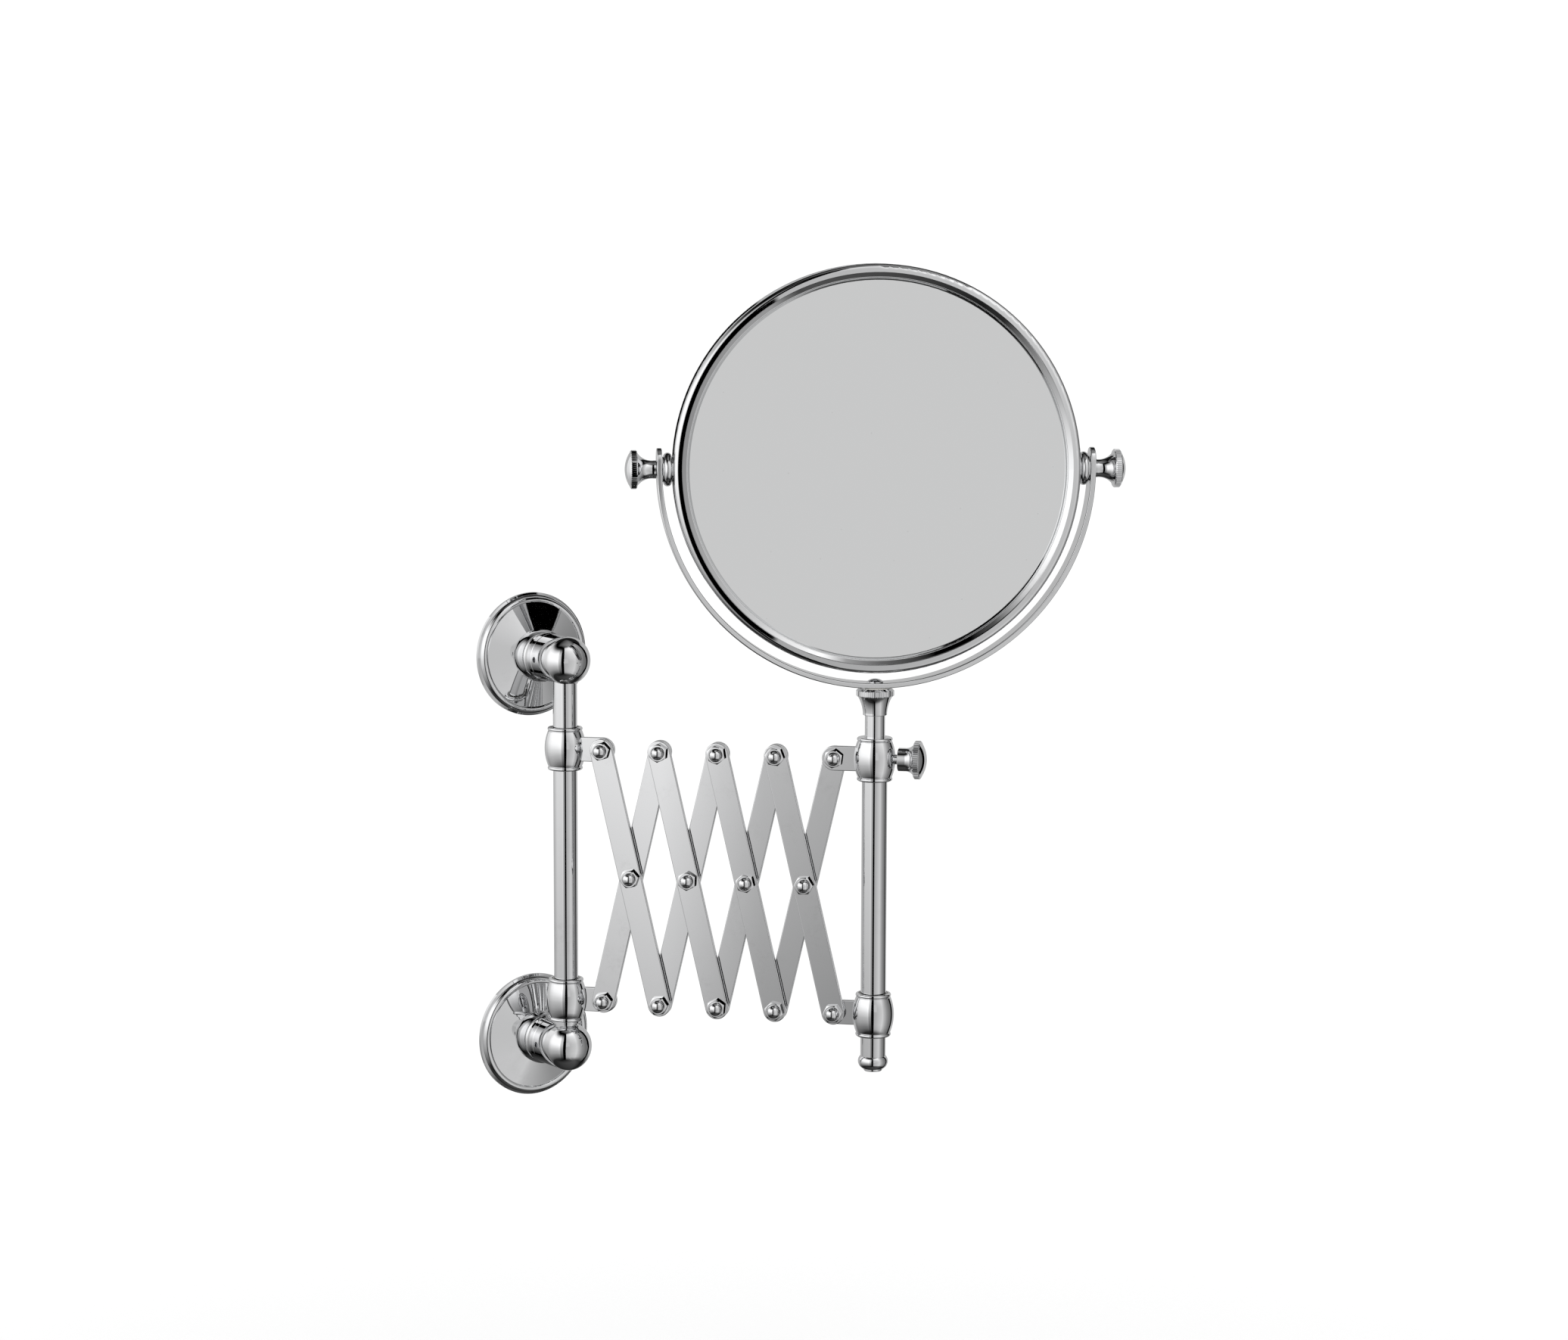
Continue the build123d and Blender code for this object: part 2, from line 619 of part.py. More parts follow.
def bezel():
    """Ring that holds a glass: a rounded outer edge, a narrow land and a slope down to the glass."""
    edge = MIRROR_R
    front = HEAD_T / 2
    bead = BEZEL_BEAD
    slope_r = edge - 2 * bead + 0.4
    inner = BEZEL_INNER_D / 2
    hold = inner + GLASS_LAP
    return turned(
        (edge, BEZEL_Z),
        (edge, front - bead),
        ((edge - bead * 0.29, front - LAND_TILT - bead * 0.29), (edge - bead, front - LAND_TILT)),
        (slope_r + 0.4, front),
        (slope_r, front - 0.45),
        (inner + 0.5, front - BEZEL_SLOPE),
        ((inner + 0.15, front - BEZEL_SLOPE - 0.15), (inner, front - BEZEL_SLOPE - 0.5)),
        (inner, HOLD_Z),
        (hold, HOLD_Z),
        (hold, BEZEL_Z),
    )


def front_glass():
    """Flat glass with a bevelled edge, on the +Z side of the head."""
    low = GLASS_Z - GLASS_T
    edge = BEZEL_INNER_D / 2 + GLASS_LAP - PLAY
    bevel = BEZEL_INNER_D / 2
    flat = bevel - GLASS_BEVEL
    return turned((0, low), (edge, low), (edge, HOLD_Z), (bevel, HOLD_Z), (flat, GLASS_Z), (0, GLASS_Z))


def magnifying_glass():
    """Dished glass on the other side, hollow towards the user."""
    low = GLASS_Z - GLASS_T
    edge = BEZEL_INNER_D / 2 + GLASS_LAP - PLAY
    bevel = BEZEL_INNER_D / 2
    dish = bevel - GLASS_BEVEL
    bowl = cap(dish, GLASS_Z, -MAGNIFIER_DISH)
    return turned((0, low), (edge, low), (edge, HOLD_Z), (bevel, HOLD_Z), (dish, GLASS_Z), bowl)


def packing():
    """Disc between the two glasses that keeps them pressed against their bezels."""
    half = GLASS_Z - GLASS_T
    return rod(PACKING_D, -half, half)


# ---- assembly --------------------------------------------------------------------------------------------
def top_pivot(cell):
    """Arm frame place of a top pivot, by its cell edge from 0 at the post to CELLS at the tube."""
    return Pos(LUG_REACH + cell * CELL_W, 0, TOP_PIVOT_Z)


def bottom_pivot(cell):
    return Pos(LUG_REACH + cell * CELL_W, 0, FIRST_PIVOT_Z)


def middle_pivot(cell):
    return Pos(LUG_REACH + (cell + 0.5) * CELL_W, 0, FIRST_PIVOT_Z + CELL_H / 2)


def sets_at(*places):
    """Pivot sets of layers 0 and 1 at places in the arm frame."""
    return [place * piece for place, turn in places for piece in pivot_set(0, turn)]


def build():
    """Every node by name, as a shape or a list of shapes in the part's frame."""
    nodes = {}
    for name, z in (("lower", 0.0), ("upper", ROSE_SPACING)):
        nodes[f"{name}_wall_bracket"] = Pos(0, 0, z) * wall_bracket()
        nodes[f"{name}_rose"] = Pos(0, 0, z) * rose()
        nodes[f"{name}_socket"] = Pos(0, 0, z) * socket(upper=name == "upper")
        nodes[f"{name}_grub_screw"] = Pos(0, 0, z) * grub_screw()
    nodes["wall_post"] = wall_post()
    nodes["rest_ring"] = rest_ring()

    # barrels on the post
    for name, z, lug_layer in (("lower", FIRST_PIVOT_Z, -1), ("upper", TOP_PIVOT_Z, 0)):
        nodes[f"{name}_post_barrel"] = ARM * Pos(0, 0, z) * sliding_barrel(1, depth(lug_layer), BUSH_D)
        nodes[f"{name}_post_bush"] = ARM * Pos(0, 0, z) * bush(BUSH_D, POST_D)
    nodes["lower_post_pivot"] = [ARM * bottom_pivot(0) * piece for piece in pivot_set(-1, 8.0)]
    nodes["upper_post_pivot"] = [ARM * top_pivot(0) * piece for piece in pivot_set(0, 14.0)]

    # scissor bars, each with the pivots that it carries
    for cell in range(CELLS):
        number = cell + 1
        back = bottom_pivot(cell) * Pos(0, -depth(0), 0) * Rot(0, REST_FOLD, 0)
        front = bottom_pivot(cell + 1) * Pos(0, -depth(1), 0) * Rot(0, -REST_FOLD, 0)
        nodes[f"back_bar_{number}"] = ARM * back * bar()
        nodes[f"front_bar_{number}"] = ARM * front * bar()
        carried = [(middle_pivot(cell), 11.0 + 17 * cell)]
        if number < CELLS:
            carried.append((top_pivot(number), 26.0 + 13 * cell))
            joined = sets_at((bottom_pivot(number), 4.0 + 21 * cell))
            nodes[f"front_pivot_{number}"] = [ARM * piece for piece in joined]
        nodes[f"back_pivots_{number}"] = [ARM * piece for piece in sets_at(*carried)]

    # barrels on the stem
    stem = ARM * Pos(TUBE_X, TUBE_Y, 0)
    nodes["clamp_barrel"] = stem * Pos(0, 0, TOP_PIVOT_Z) * clamp_barrel(depth(1, TUBE_LAYER))
    slider = stem * Pos(0, 0, FIRST_PIVOT_Z)
    nodes["lower_stem_barrel"] = slider * sliding_barrel(-1, depth(0, TUBE_LAYER), TUBE_BUSH_D)
    nodes["lower_stem_bush"] = slider * bush(TUBE_BUSH_D, TUBE_D)
    nodes["clamp_pivot"] = [ARM * piece for piece in sets_at((top_pivot(CELLS), 22.0))]
    nodes["lower_stem_pivot"] = [ARM * piece for piece in sets_at((bottom_pivot(CELLS), 3.0))]
    nodes["stem_tube"] = stem * stem_tube()
    nodes["end_bulb"] = stem * end_bulb()
    nodes["clamp_pad"] = stem * Pos(0, 0, TOP_PIVOT_Z) * clamp_pad()
    nodes["clamp_knob"] = stem * Pos(0, 0, TOP_PIVOT_Z) * clamp_knob()
    nodes["mirror_stem"] = stem * mirror_stem()
    nodes["collar_nut"] = stem * collar_nut()
    nodes["yoke_screw"] = stem * yoke_screw()
    nodes["swivel_washer"] = stem * swivel_washer()

    # yoke and mirror head
    nodes["yoke"] = HEAD * yoke()
    for name, side in (("left", HEAD * Rot(0, 0, 180)), ("right", HEAD)):
        nodes[f"{name}_spacer"] = side * tilt_spacer()
        nodes[f"{name}_tilt_stud"] = side * tilt_stud()
        nodes[f"{name}_tilt_knob"] = side * tilt_knob()
    front = HEAD * OUT_OF_WALL
    back = HEAD * Rot(-90, 0, 0)
    nodes["mirror_rim"] = HEAD * mirror_rim()
    nodes["front_bezel"] = front * bezel()
    nodes["back_bezel"] = back * bezel()
    nodes["front_glass"] = front * front_glass()
    nodes["magnifying_glass"] = back * magnifying_glass()
    nodes["glass_packing"] = front * packing()
    return nodes


def main():
    os.makedirs("parts", exist_ok=True)
    for name, shape in build().items():
        if isinstance(shape, list):
            shape = Compound(children=shape)
        export_step(shape, f"parts/{name}.step")


if __name__ == "__main__":
    main()
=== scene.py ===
# %% [markdown]
# Extendable shaving mirror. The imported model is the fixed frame: it gives every part's place and every
# body that moves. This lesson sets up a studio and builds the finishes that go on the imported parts.

# %% Load the frame
import json
import math

import bpy
from mathutils import Matrix, Vector

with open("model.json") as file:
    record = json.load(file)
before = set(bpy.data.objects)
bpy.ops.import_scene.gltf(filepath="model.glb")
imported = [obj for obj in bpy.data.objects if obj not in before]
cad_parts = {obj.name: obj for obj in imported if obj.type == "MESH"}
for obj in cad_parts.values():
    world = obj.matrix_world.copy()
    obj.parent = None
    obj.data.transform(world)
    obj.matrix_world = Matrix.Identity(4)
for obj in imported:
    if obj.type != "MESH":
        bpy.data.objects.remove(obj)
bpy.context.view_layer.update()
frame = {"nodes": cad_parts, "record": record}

nodes = frame["nodes"]

# %% [markdown]
# The camera. A long lens from a couple of metres keeps the bars nearly parallel, as a catalogue view does.
# It could be aimed with a constraint, but a rotation worked out from azimuth, pitch and roll stays exact
# and needs nothing else in the scene.

# %% Camera
AZIMUTH, PITCH, ROLL = (math.radians(a) for a in (-33.772, 6.966, 0.174))
AIM = Vector((0.110134 * math.cos(AZIMUTH), 0.110134 * math.sin(AZIMUTH) - 0.0345, 0.192936))
AWAY = 1.824071  # camera to the aim point, in metres
LENS = 83.345  # millimetres on a 36 mm wide sensor

back = Vector((math.sin(AZIMUTH) * math.cos(PITCH), -math.cos(AZIMUTH) * math.cos(PITCH), math.sin(PITCH)))
level = Vector((math.cos(AZIMUTH), math.sin(AZIMUTH), 0))
upright = back.cross(level)
right = level * math.cos(ROLL) + upright * math.sin(ROLL)
up = upright * math.cos(ROLL) - level * math.sin(ROLL)
camera = bpy.data.objects.new("Camera", bpy.data.cameras.new("Camera"))
bpy.context.scene.collection.objects.link(camera)
turn = Matrix((right, up, back)).transposed().to_4x4()
camera.matrix_world = Matrix.Translation(AIM + back * AWAY) @ turn
camera.data.sensor_width = 36
camera.data.lens = LENS
camera.data.clip_end = 50
bpy.context.scene.camera = camera
print("camera at", [round(c, 3) for c in camera.matrix_world.translation])

# %% [markdown]
# The studio. Chrome has no colour of its own: what shows is the room. Small metal is shot inside a tent of
# pale cloth, with a dark slit for the lens, a darker gap where the cloth ends and a grey sheet behind. Area
# lights could stand for the cloth, but their edges and falloff are hard to shape. Here the tent is one wide
# drum round the object. Its brightness is worked out point by point and kept in a colour layer. Only
# mirror-like rays see the drum, so it hides nothing and casts no shadow.

# %% How bright the cloth is
TENT_CENTRE = Vector((0.05, -0.09, 0.0))
TENT_R = 1.0
TENT_LOW, TENT_HIGH = -1.2, 2.0
SLIT = (-42.0, -26.5)  # degrees round the drum, from straight out of the wall towards +X
CARD_HEIGHTS = (0.07, 0.40)  # an even card stands beside the slit, where the flat glass looks
CARD_ANGLES = (-26.5, -8.5)
CARD_LEVEL = 0.65
GAP = (77.0, 93.0)  # where the cloth ends and the dark room shows
REAR_EDGE = -165.0  # the grey sheet behind runs from the gap round to here
CHROME_LEVEL = 0.78  # share of the light that chrome gives back

LEFT_BY_HEIGHT = (
    (-1.05, 0.02), (-0.85, 0.10), (-0.60, 0.20), (-0.40, 0.33), (-0.20, 0.45), (0.00, 0.68), (0.20, 0.95),
    (0.42, 1.05), (0.70, 1.05), (0.95, 0.75), (1.15, 0.40), (1.40, 0.08), (1.70, 0.00),
)
LEFT_BY_ANGLE = (
    (-165, 0.75), (-150, 0.70), (-135, 0.90), (-115, 1.00), (-80, 1.00), (-66, 1.02), (-59.5, 1.12),
    (-55, 0.70), (-48, 0.52), (-42, 0.48),
)
RIGHT_BY_HEIGHT = (
    (-1.15, 0.08), (-1.00, 0.20), (-0.80, 0.45), (-0.50, 0.52), (0.00, 0.50), (0.20, 0.50), (0.45, 0.58),
    (0.70, 0.65), (1.00, 0.75), (1.30, 0.90), (1.70, 0.90), (2.00, 0.30),
)
RIGHT_BY_ANGLE = (
    (-26.5, 0.75), (-18, 0.80), (0, 1.00), (13, 1.10), (21, 1.20), (28, 0.95), (46, 0.55), (65, 0.32),
    (76, 0.28),
)
REAR_BY_HEIGHT = ((-0.90, 0.02), (-0.60, 0.20), (-0.40, 0.42), (0.80, 0.42), (0.95, 0.30), (1.00, 0.01))


def along(table, x):
    """Value at x on a line through (x, value) pairs, level beyond both ends."""
    if x <= table[0][0]:
        return table[0][1]
    for (x0, y0), (x1, y1) in zip(table, table[1:]):
        if x <= x1:
            return y0 + (y1 - y0) * (x - x0) / (x1 - x0)
    return table[-1][1]


def cloth(angle, height):
    """Light from the tent at an angle in degrees and a height in metres."""
    if CARD_HEIGHTS[0] < height < CARD_HEIGHTS[1] and CARD_ANGLES[0] <= angle < CARD_ANGLES[1]:
        return CARD_LEVEL
    if SLIT[0] < angle < SLIT[1] or GAP[0] < angle < GAP[1]:
        return 0.0
    if REAR_EDGE < angle <= SLIT[0]:
        seen = along(LEFT_BY_HEIGHT, height) * along(LEFT_BY_ANGLE, angle)
    elif SLIT[1] <= angle <= GAP[0]:
        seen = along(RIGHT_BY_HEIGHT, height) * along(RIGHT_BY_ANGLE, angle)
    else:
        seen = along(REAR_BY_HEIGHT, height)
    return seen / CHROME_LEVEL


print("card", CARD_LEVEL, "cloth beside the slit", round(cloth(SLIT[0] - 1, 0.2), 2))

# %% [markdown]
# The drum itself is a grid of points with two end caps. A fine grid keeps the edges of the slit and the gap
# crisp, because in polished metal they become the thin dark outlines of every bar and nut.

# %% The tent as a mesh
TENT_STEPS, TENT_ROWS = 720, 120


def emitter(name):
    """Material that glows with the object's own colour layer."""
    material = bpy.data.materials.new(name)
    material.use_nodes = True
    tree = material.node_tree
    tree.nodes.clear()
    layer = tree.nodes.new("ShaderNodeAttribute")
    layer.attribute_name = "glow"
    glow = tree.nodes.new("ShaderNodeEmission")
    out = tree.nodes.new("ShaderNodeOutputMaterial")
    tree.links.new(layer.outputs["Color"], glow.inputs["Color"])
    tree.links.new(glow.outputs["Emission"], out.inputs["Surface"])
    return material


def only_reflected(piece):
    """The object shows in reflections, and does nothing else."""
    piece.visible_camera = False
    piece.visible_diffuse = False
    piece.visible_transmission = False
    piece.visible_volume_scatter = False
    piece.visible_shadow = False


def tent():
    """Drum of cloth round the object, bright where cloth() says."""
    points, levels, faces = [], [], []
    for row in range(TENT_ROWS + 1):
        z = TENT_LOW + (TENT_HIGH - TENT_LOW) * row / TENT_ROWS
        for step in range(TENT_STEPS):
            angle = 360 * step / TENT_STEPS - 180
            a = math.radians(angle)
            points.append(TENT_CENTRE + Vector((TENT_R * math.sin(a), -TENT_R * math.cos(a), z)))
            levels.append(cloth(angle, z))
    for row in range(TENT_ROWS):
        low, high = row * TENT_STEPS, (row + 1) * TENT_STEPS
        for step in range(TENT_STEPS):
            after = (step + 1) % TENT_STEPS
            faces.append((low + step, low + after, high + after, high + step))
    faces.append(tuple(range(TENT_STEPS)))
    faces.append(tuple(range(TENT_ROWS * TENT_STEPS, (TENT_ROWS + 1) * TENT_STEPS)))
    mesh = bpy.data.meshes.new("tent")
    mesh.from_pydata(points, [], faces)
    glow = mesh.attributes.new("glow", "FLOAT_COLOR", "POINT")
    for place, brightness in zip(glow.data, levels):
        place.color = (brightness, brightness, brightness, 1)
    drum = bpy.data.objects.new("tent", mesh)
    drum.data.materials.append(emitter("tent cloth"))
    bpy.context.scene.collection.objects.link(drum)
    only_reflected(drum)
    return drum


tent()
print("tent of cloth", TENT_R, "m in radius")

# %% [markdown]
# Room light. The background is plain white, and the same white lights everything that isn't metal. A light
# path node tells mirror-like rays apart, and gives them a dark room instead, so that only the tent shows in
# the chrome.

# %% World
ROOM_WHITE = 1.06
ROOM_DARK = 0.02  # what shows in chrome past the ends of the tent
world = bpy.data.worlds.new("studio")
bpy.context.scene.world = world
world.use_nodes = True
tree = world.node_tree
tree.nodes.clear()
path = tree.nodes.new("ShaderNodeLightPath")
white = tree.nodes.new("ShaderNodeBackground")
white.inputs["Color"].default_value = (1, 1, 1, 1)
white.inputs["Strength"].default_value = ROOM_WHITE
dark = tree.nodes.new("ShaderNodeBackground")
dark.inputs["Strength"].default_value = ROOM_DARK
choose = tree.nodes.new("ShaderNodeMixShader")
out = tree.nodes.new("ShaderNodeOutputWorld")
tree.links.new(path.outputs["Is Glossy Ray"], choose.inputs["Fac"])
tree.links.new(white.outputs["Background"], choose.inputs[1])
tree.links.new(dark.outputs["Background"], choose.inputs[2])
tree.links.new(choose.outputs["Shader"], out.inputs["Surface"])

print("room white", ROOM_WHITE, "seen in chrome as", ROOM_DARK)

# %% [markdown]
# The floor. It is a pale disc well below the arm, and its alpha fades out before its edge, so that no
# horizon shows behind the mirror. It stays out of the chrome, where the tent already gives the lower tones.

# %% Floor
FLOOR_Z = -0.34
FLOOR_R = 1.5
FADE_OUT, FADE_IN = 1.4, 0.5  # metres from the middle where the floor is gone, and where it is whole
FLOOR_WHITE = (0.93, 0.93, 0.93, 1)
bpy.ops.mesh.primitive_circle_add(
    vertices=96, radius=FLOOR_R, fill_type="NGON", location=(0.05, -0.1, FLOOR_Z)
)
floor = bpy.context.object
floor.name = "floor"
pale = bpy.data.materials.new("pale floor")
pale.use_nodes = True
tree = pale.node_tree
shader = tree.nodes["Principled BSDF"]
shader.inputs["Base Color"].default_value = FLOOR_WHITE
shader.inputs["Roughness"].default_value = 0.9
shader.inputs["Specular IOR Level"].default_value = 0.0
place = tree.nodes.new("ShaderNodeTexCoord")
reach = tree.nodes.new("ShaderNodeVectorMath")
reach.operation = "LENGTH"
fade = tree.nodes.new("ShaderNodeMapRange")
fade.interpolation_type = "SMOOTHSTEP"
fade.inputs["From Min"].default_value = FADE_OUT
fade.inputs["From Max"].default_value = FADE_IN
tree.links.new(place.outputs["Object"], reach.inputs[0])
tree.links.new(reach.outputs["Value"], fade.inputs["Value"])
tree.links.new(fade.outputs["Result"], shader.inputs["Alpha"])
floor.data.materials.append(pale)
floor.visible_glossy = False
bpy.context.scene.view_settings.view_transform = "Standard"
print("floor at", FLOOR_Z)

# %% [markdown]
# Effects that several finishes share. Real plate is never an even sheet: fingers leave faint patches, the
# polishing wheel leaves fine lines, and the plate itself has a slow ripple. Each effect is a node group that
# is built once and placed in each material with its own values. A group gives only a mask or a height. The
# shader stays in the material, where an export can read it.

# %% A node group and its sockets
def group(name, **inputs):
    """Empty node group with number inputs and their first values; gives its tree and its two ends."""
    made = bpy.data.node_groups.new(name, "ShaderNodeTree")
    made.interface.new_socket("Vector", in_out="INPUT", socket_type="NodeSocketVector")
    for label, value in inputs.items():
        socket = made.interface.new_socket(label, in_out="INPUT", socket_type="NodeSocketFloat")
        socket.default_value = value
    return made, made.nodes.new("NodeGroupInput"), made.nodes.new("NodeGroupOutput")


def noise(tree, detail, roughness=0.55):
    """Noise texture node with its plain settings."""
    made = tree.nodes.new("ShaderNodeTexNoise")
    made.inputs["Detail"].default_value = detail
    made.inputs["Roughness"].default_value = roughness
    return made


def ramp(tree, low, high):
    """Map Range node that turns low..high into 0..1 with soft ends."""
    made = tree.nodes.new("ShaderNodeMapRange")
    made.interpolation_type = "SMOOTHSTEP"
    made.inputs["From Min"].default_value = low
    made.inputs["From Max"].default_value = high
    return made


def output(made, end, label, source):
    """Add a named output and feed it."""
    made.interface.new_socket(label, in_out="OUTPUT", socket_type="NodeSocketFloat")
    made.links.new(source, end.inputs[label])


print("helpers ready")

# %% [markdown]
# Smudges: soft patches a few centimetres across, where a cloth left a little film, broken up by finer
# streaks. Two noises of different size are multiplied, so clean metal stays clean between them.

# %% Smudges
smudges, start, end = group("Smudges", Scale=28.0, Streak=260.0)
patch = noise(smudges, 3.0)
streak = noise(smudges, 5.0, 0.65)
wide, fine = ramp(smudges, 0.48, 0.70), ramp(smudges, 0.35, 0.75)
both = smudges.nodes.new("ShaderNodeMath")
both.operation = "MULTIPLY"
for texture, label, soft, slot in ((patch, "Scale", wide, 0), (streak, "Streak", fine, 1)):
    smudges.links.new(start.outputs["Vector"], texture.inputs["Vector"])
    smudges.links.new(start.outputs[label], texture.inputs["Scale"])
    smudges.links.new(texture.outputs["Fac"], soft.inputs["Value"])
    smudges.links.new(soft.outputs["Result"], both.inputs[slot])
output(smudges, end, "Mask", both.outputs["Value"])
print("smudges", len(smudges.nodes), "nodes")

# %% [markdown]
# Ripple: the slow unevenness of plated metal, seen as a slight waver in straight reflections. One soft noise
# is enough. It feeds a Bump node as a height.

# %% Ripple
ripple, start, end = group("Ripple", Scale=180.0)
wave = noise(ripple, 1.5, 0.4)
ripple.links.new(start.outputs["Vector"], wave.inputs["Vector"])
ripple.links.new(start.outputs["Scale"], wave.inputs["Scale"])
output(ripple, end, "Height", wave.outputs["Fac"])
print("ripple", len(ripple.nodes), "nodes")

# %% [markdown]
# Polish lines: hair-fine scratches from the buffing wheel. A noise that is stretched many times along the
# upright direction gives them. The stretch is an input, so flat bars get long lines and the small brass pad
# gets short ones.

# %% Polish lines
lines, start, end = group("Polish lines", Across=2600.0, Along=40.0)
stretch = lines.nodes.new("ShaderNodeCombineXYZ")
shape = lines.nodes.new("ShaderNodeVectorMath")
shape.operation = "MULTIPLY"
hair = noise(lines, 2.0)
hair.inputs["Scale"].default_value = 1.0
lines.links.new(start.outputs["Across"], stretch.inputs["X"])
lines.links.new(start.outputs["Across"], stretch.inputs["Y"])
lines.links.new(start.outputs["Along"], stretch.inputs["Z"])
lines.links.new(start.outputs["Vector"], shape.inputs[0])
lines.links.new(stretch.outputs["Vector"], shape.inputs[1])
lines.links.new(shape.outputs["Vector"], hair.inputs["Vector"])
output(lines, end, "Height", hair.outputs["Fac"])
print("polish lines", len(lines.nodes), "nodes")

# %% [markdown]
# Specks: sparse dust and tiny pits. A Voronoi texture gives one point in each cell, and only the close
# neighbourhood of each point is kept.

# %% Specks
specks, start, end = group("Specks", Scale=140.0, Size=0.05)
cells = specks.nodes.new("ShaderNodeTexVoronoi")
close = specks.nodes.new("ShaderNodeMath")
close.operation = "LESS_THAN"
specks.links.new(start.outputs["Vector"], cells.inputs["Vector"])
specks.links.new(start.outputs["Scale"], cells.inputs["Scale"])
specks.links.new(cells.outputs["Distance"], close.inputs[0])
specks.links.new(start.outputs["Size"], close.inputs[1])
output(specks, end, "Mask", close.outputs["Value"])
print("specks", len(specks.nodes), "nodes")

# %% [markdown]
# A finish puts these together. Every one of them starts from object coordinates, which stay with the part
# when it moves, and ends in one Principled shader. A mask moves the colour and the roughness between two
# values, and a height goes through a Bump node with the true depth in metres.

# %% Building a finish
def finish(name, metallic):
    """New material; gives it with its tree, its shader and its object coordinates."""
    material = bpy.data.materials.new(name)
    material.use_nodes = True
    tree = material.node_tree
    shader = tree.nodes["Principled BSDF"]
    shader.inputs["Metallic"].default_value = metallic
    place = tree.nodes.new("ShaderNodeTexCoord")
    return material, tree, shader, place.outputs["Object"]


def effect(tree, made, where, **values):
    """Place a node group in a material with its own values."""
    node = tree.nodes.new("ShaderNodeGroup")
    node.node_tree = made
    tree.links.new(where, node.inputs["Vector"])
    for label, value in values.items():
        node.inputs[label].default_value = value
    return node.outputs[0]


def tint(tree, shader, mask, clean, marked):
    """Base colour between two colours by a mask."""
    mix = tree.nodes.new("ShaderNodeMix")
    mix.data_type = "RGBA"
    mix.inputs["A"].default_value = (*clean, 1)
    mix.inputs["B"].default_value = (*marked, 1)
    tree.links.new(mask, mix.inputs["Factor"])
    tree.links.new(mix.outputs["Result"], shader.inputs["Base Color"])


def blur(tree, shader, mask, clean, marked):
    """Roughness between two values by a mask."""
    node = tree.nodes.new("ShaderNodeMapRange")
    node.inputs["To Min"].default_value = clean
    node.inputs["To Max"].default_value = marked
    tree.links.new(mask, node.inputs["Value"])
    tree.links.new(node.outputs["Result"], shader.inputs["Roughness"])


def relief(tree, shader, *layers):
    """Bump nodes in a chain, one for each (height, depth in metres)."""
    before = None
    for height, deep in layers:
        bump = tree.nodes.new("ShaderNodeBump")
        bump.inputs["Distance"].default_value = deep
        tree.links.new(height, bump.inputs["Height"])
        if before:
            tree.links.new(before, bump.inputs["Normal"])
        before = bump.outputs["Normal"]
    tree.links.new(before, shader.inputs["Normal"])


print("finish helpers ready")

# %% [markdown]
# Polished chrome, on the tubes, rings, nuts and knobs. Chrome plate gives back a bit under four fifths of
# the light, very slightly blue. Where a finger has been it is a little darker and less sharp.

# %% Polished chrome
# Every relief depth in this lesson is in metres.
CLEAN_CHROME = (0.775, 0.778, 0.785)
FILMED_CHROME = (0.70, 0.70, 0.705)
chrome, tree, shader, where = finish("polished chrome", 1.0)
film = effect(tree, smudges, where, Scale=34.0, Streak=300.0)
tint(tree, shader, film, CLEAN_CHROME, FILMED_CHROME)
blur(tree, shader, film, 0.022, 0.085)
relief(tree, shader, (effect(tree, ripple, where, Scale=190.0), 1.2e-6))
print("chrome", CLEAN_CHROME)

# %% [markdown]
# Bar plate. The bars are stamped from strip, polished flat and then plated, so long fine lines stay under
# the chrome, and the wide faces show a soft film that tubes hide.

# %% Plated bars
bar_plate, tree, shader, where = finish("plated bar", 1.0)
film = effect(tree, smudges, where, Scale=42.0, Streak=420.0)
tint(tree, shader, film, CLEAN_CHROME, FILMED_CHROME)
blur(tree, shader, film, 0.035, 0.12)
relief(
    tree,
    shader,
    (effect(tree, ripple, where, Scale=150.0), 1.5e-6),
    (effect(tree, lines, where, Across=2400.0, Along=45.0), 1.0e-7),
)
print("bar plate ready")

# %% [markdown]
# Mirror glass. A silvered mirror is a metal coat behind glass. The coat alone, nearly free of roughness,
# looks the same at this distance and is much simpler than a sheet of real glass. A few specks of dust and a
# thin film keep it from looking like a hole.

# %% Mirror glass
mirror_glass, tree, shader, where = finish("mirror glass", 1.0)
dust = effect(tree, specks, where, Scale=110.0, Size=0.035)
tint(tree, shader, dust, (0.885, 0.89, 0.892), (0.80, 0.80, 0.80))
blur(tree, shader, effect(tree, smudges, where, Scale=16.0, Streak=120.0), 0.0, 0.03)
relief(tree, shader, (effect(tree, ripple, where, Scale=14.0), 6.0e-7))
print("mirror glass ready")

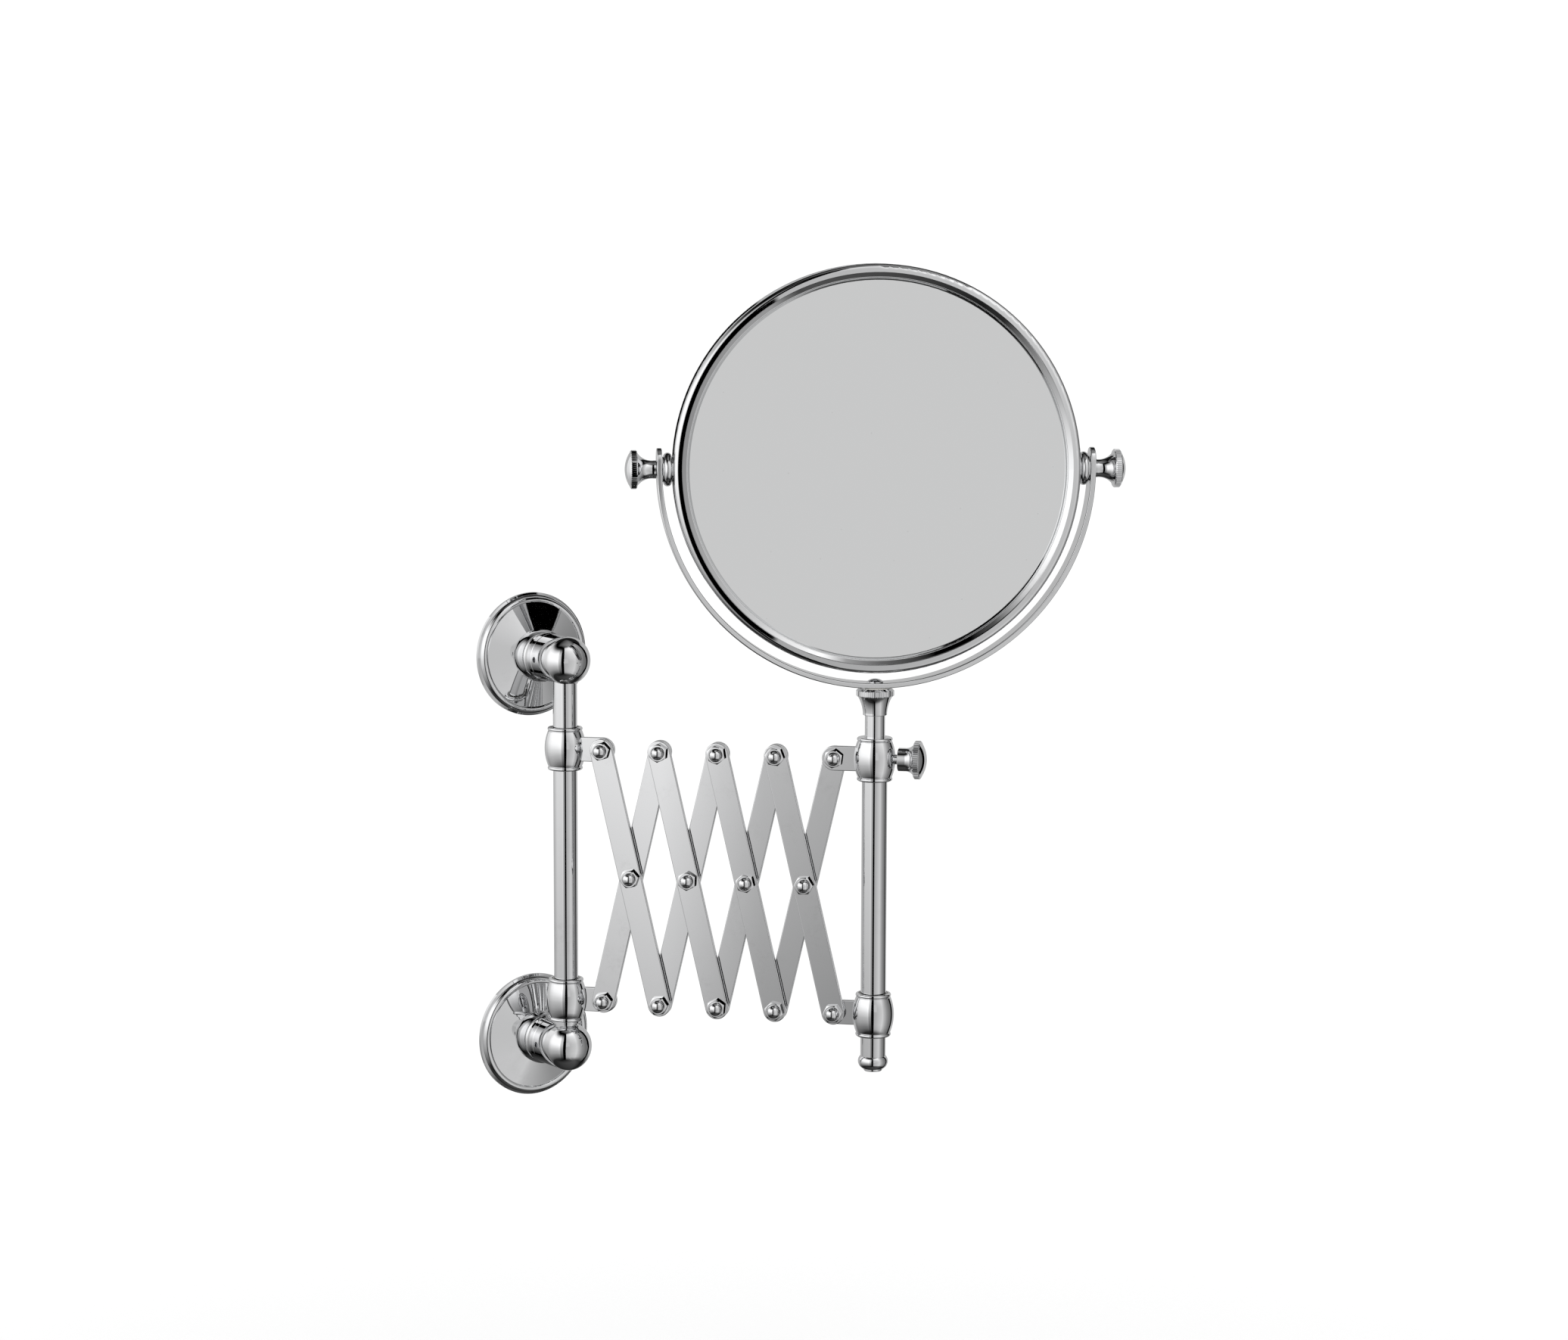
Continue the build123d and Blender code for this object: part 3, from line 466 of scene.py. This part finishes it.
# %% [markdown]
# The finishes that hardly show: zinc plate on the brackets and screws, with its frosty crystals; natural
# nylon on bushes and washers; turned brass on the clamp's pad; and grey foam board inside the head.

# %% Zinc, nylon, brass and packing
zinc, tree, shader, where = finish("zinc plate", 1.0)
crystals = effect(tree, smudges, where, Scale=320.0, Streak=900.0)
tint(tree, shader, crystals, (0.60, 0.61, 0.64), (0.50, 0.51, 0.53))
blur(tree, shader, crystals, 0.28, 0.45)
relief(tree, shader, (effect(tree, ripple, where, Scale=900.0), 4.0e-6))

nylon, tree, shader, where = finish("natural nylon", 0.0)
mould = effect(tree, smudges, where, Scale=200.0, Streak=1500.0)
tint(tree, shader, mould, (0.80, 0.79, 0.75), (0.70, 0.69, 0.64))
blur(tree, shader, mould, 0.38, 0.55)
relief(tree, shader, (effect(tree, ripple, where, Scale=1400.0), 1.0e-5))

brass, tree, shader, where = finish("turned brass", 1.0)
tarnish = effect(tree, smudges, where, Scale=240.0, Streak=1000.0)
tint(tree, shader, tarnish, (0.78, 0.60, 0.30), (0.52, 0.38, 0.17))
blur(tree, shader, tarnish, 0.20, 0.42)
relief(tree, shader, (effect(tree, lines, where, Across=5000.0, Along=300.0), 1.5e-6))

packing, tree, shader, where = finish("foam board", 0.0)
pores = effect(tree, specks, where, Scale=900.0, Size=0.28)
tint(tree, shader, pores, (0.28, 0.28, 0.29), (0.18, 0.18, 0.19))
blur(tree, shader, pores, 0.85, 0.95)
relief(tree, shader, (pores, 8.0e-5))
print("hidden finishes ready")

# %% [markdown]
# Every part takes its finish from the slot that the record gives it. The flat bars share the chrome slot,
# but get the plated bar finish by their names.

# %% Put the finishes on the parts
BY_SLOT = {
    "chrome": chrome,
    "mirror_glass": mirror_glass,
    "zinc_steel": zinc,
    "nylon": nylon,
    "brass": brass,
    "packing": packing,
}
slot_of = {part["node"]: part["material_slot"] for part in frame["record"]["subparts"]}
for name, part in nodes.items():
    material = bar_plate if name.startswith(("front_bar", "back_bar")) else BY_SLOT[slot_of[name]]
    part.data.materials.clear()
    part.data.materials.append(material)
print("finishes on", len(nodes), "parts")
